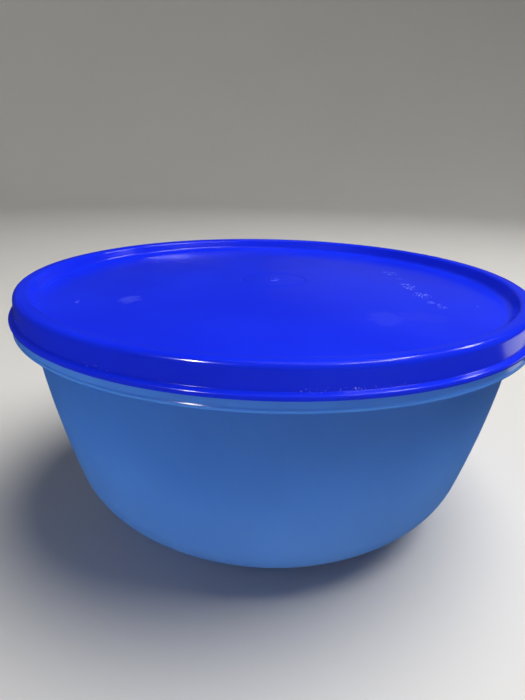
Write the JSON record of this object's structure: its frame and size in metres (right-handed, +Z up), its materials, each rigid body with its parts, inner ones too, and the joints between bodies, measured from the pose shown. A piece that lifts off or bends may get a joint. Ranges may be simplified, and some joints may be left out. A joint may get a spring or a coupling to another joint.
{
  "type": "lidded food bowl",
  "caption": "Round frosted plastic food bowl with a flanged rim and a glossy press-on lid that has a recessed panel.",
  "frame": {"origin": "centre of the flat foot ring that the bowl stands on", "axes": "+Z up along the bowl's axis of turning; +X and +Y are any two square directions, because the object is round"},
  "size_m": [0.24, 0.24, 0.117],
  "materials": {
    "frosted_plastic": "frosted translucent mid-blue polypropylene, soft satin sheen",
    "lid_plastic": "glossy saturated blue polyethylene, faintly worn"
  },
  "bodies": {
    "bowl": {"bowl": "frosted_plastic"},
    "lid": {"lid": "lid_plastic"}
  },
  "joints": [
    {"name": "lid_lift", "type": "slide", "parent": "bowl", "child": "lid", "axis": [0, 0, 1], "range_m": [0, 0.08]}
  ]
}
